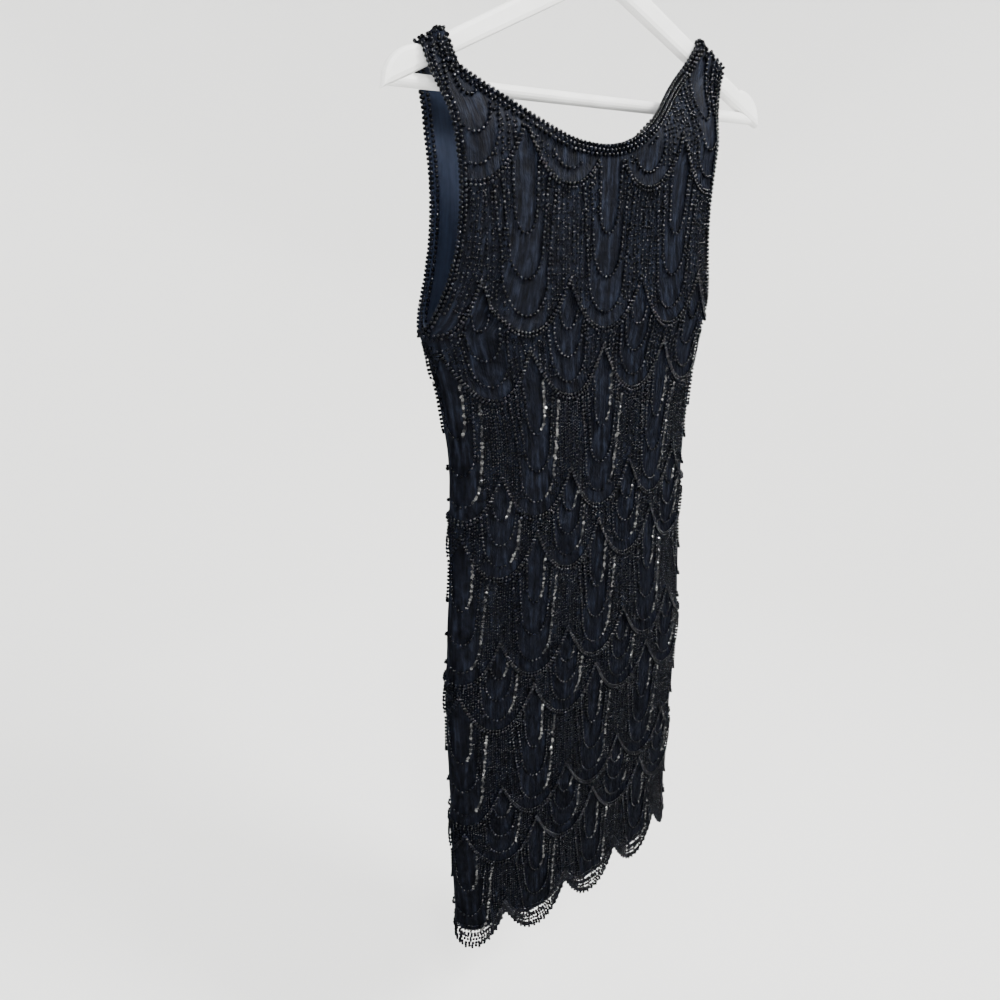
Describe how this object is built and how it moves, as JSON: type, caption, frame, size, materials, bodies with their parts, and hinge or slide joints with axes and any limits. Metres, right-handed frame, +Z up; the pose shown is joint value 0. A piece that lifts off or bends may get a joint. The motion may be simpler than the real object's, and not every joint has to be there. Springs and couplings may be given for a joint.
{
  "type": "sequin cocktail dress on a wooden hanger",
  "caption": "Sleeveless navy sheath dress with scallops of black beads and sequins and an openwork hem, on a white wooden hanger with a round bar.",
  "frame": {"origin": "the point where the hanger's hook hangs on its rail", "axes": "+Z up, +X towards the right of someone facing the dress's front, front towards -Y"},
  "size_m": [0.43, 0.1022, 1.1134],
  "materials": {
    "navy_cloth": "crinkled slubby chiffon over satin, dark navy",
    "lining_satin": "smooth mid-blue satin",
    "black_beads": "shiny round black beads",
    "painted_wood": "white satin paint",
    "hook_steel": "plated wire"
  },
  "bodies": {
    "root": {"front_panel": "navy_cloth", "back_panel": "navy_cloth", "front_lining": "lining_satin", "back_lining": "lining_satin", "front_neck_edging": "black_beads", "back_neck_edging": "black_beads", "front_armhole_edging_left": "black_beads", "front_armhole_edging_right": "black_beads", "back_armhole_edging_left": "black_beads", "back_armhole_edging_right": "black_beads", "hanger_arms": "painted_wood", "hanger_bar": "painted_wood", "hanger_hook": "hook_steel"}
  },
  "joints": []
}
